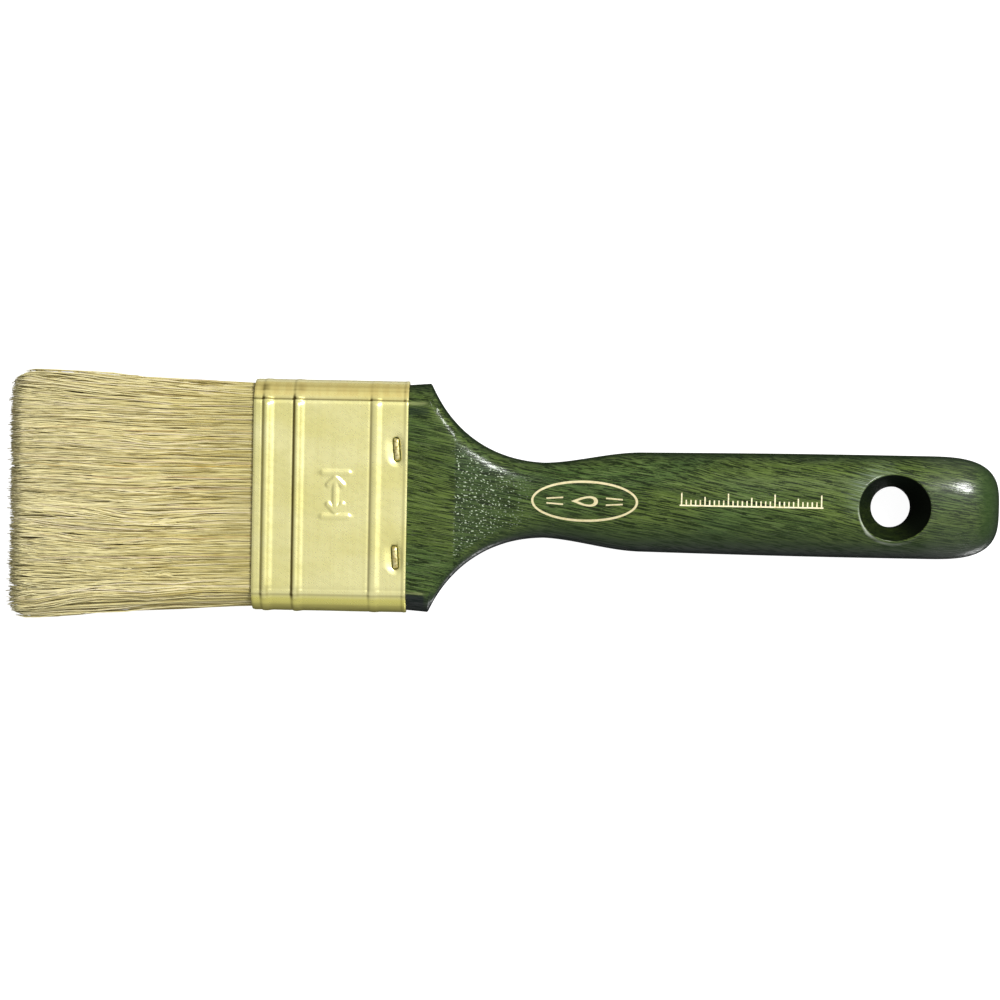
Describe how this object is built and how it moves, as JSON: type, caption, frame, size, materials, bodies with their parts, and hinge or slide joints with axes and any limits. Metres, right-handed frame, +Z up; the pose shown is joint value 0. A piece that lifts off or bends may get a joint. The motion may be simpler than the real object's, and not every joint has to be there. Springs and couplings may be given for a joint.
{
  "type": "flat paint brush",
  "caption": "Flat 50 mm paint brush with natural bristles, a beaded brass ferrule and a green stained wooden handle with a hanging hole.",
  "frame": {"origin": "below the middle of the brush's box, on the surface that the brush lies on", "axes": "+X along the brush towards the handle's end, +Y across its width, +Z up through its thickness, away from the surface it lies on"},
  "size_m": [0.2154, 0.0526, 0.0161],
  "materials": {
    "stained_wood": "green stain under glossy clear lacquer",
    "ferrule_brass": "bright satin rolled sheet",
    "staple_wire": "bright flat wire",
    "setting_resin": "hardened resin",
    "spacer_wood": "bare sawn wood",
    "bristle": "natural pale bristle, darker at the tips"
  },
  "bodies": {
    "brush": {"handle": "stained_wood", "ferrule": "ferrule_brass", "front_staple_left": "staple_wire", "front_staple_right": "staple_wire", "back_staple_left": "staple_wire", "back_staple_right": "staple_wire", "epoxy_setting": "setting_resin", "front_spacer": "spacer_wood", "back_spacer": "spacer_wood", "front_roots": "bristle", "middle_roots": "bristle", "back_roots": "bristle"},
    "tuft": {"front_bristles": "bristle", "middle_bristles": "bristle", "back_bristles": "bristle"}
  },
  "joints": [
    {"name": "bristle_flex", "type": "hinge", "parent": "brush", "child": "tuft", "pos_m": [-0.0611, 0, 0.00805], "axis": [0, 1, 0], "range_deg": [-40, 40], "stiffness_Nm_per_rad": 0.3}
  ]
}
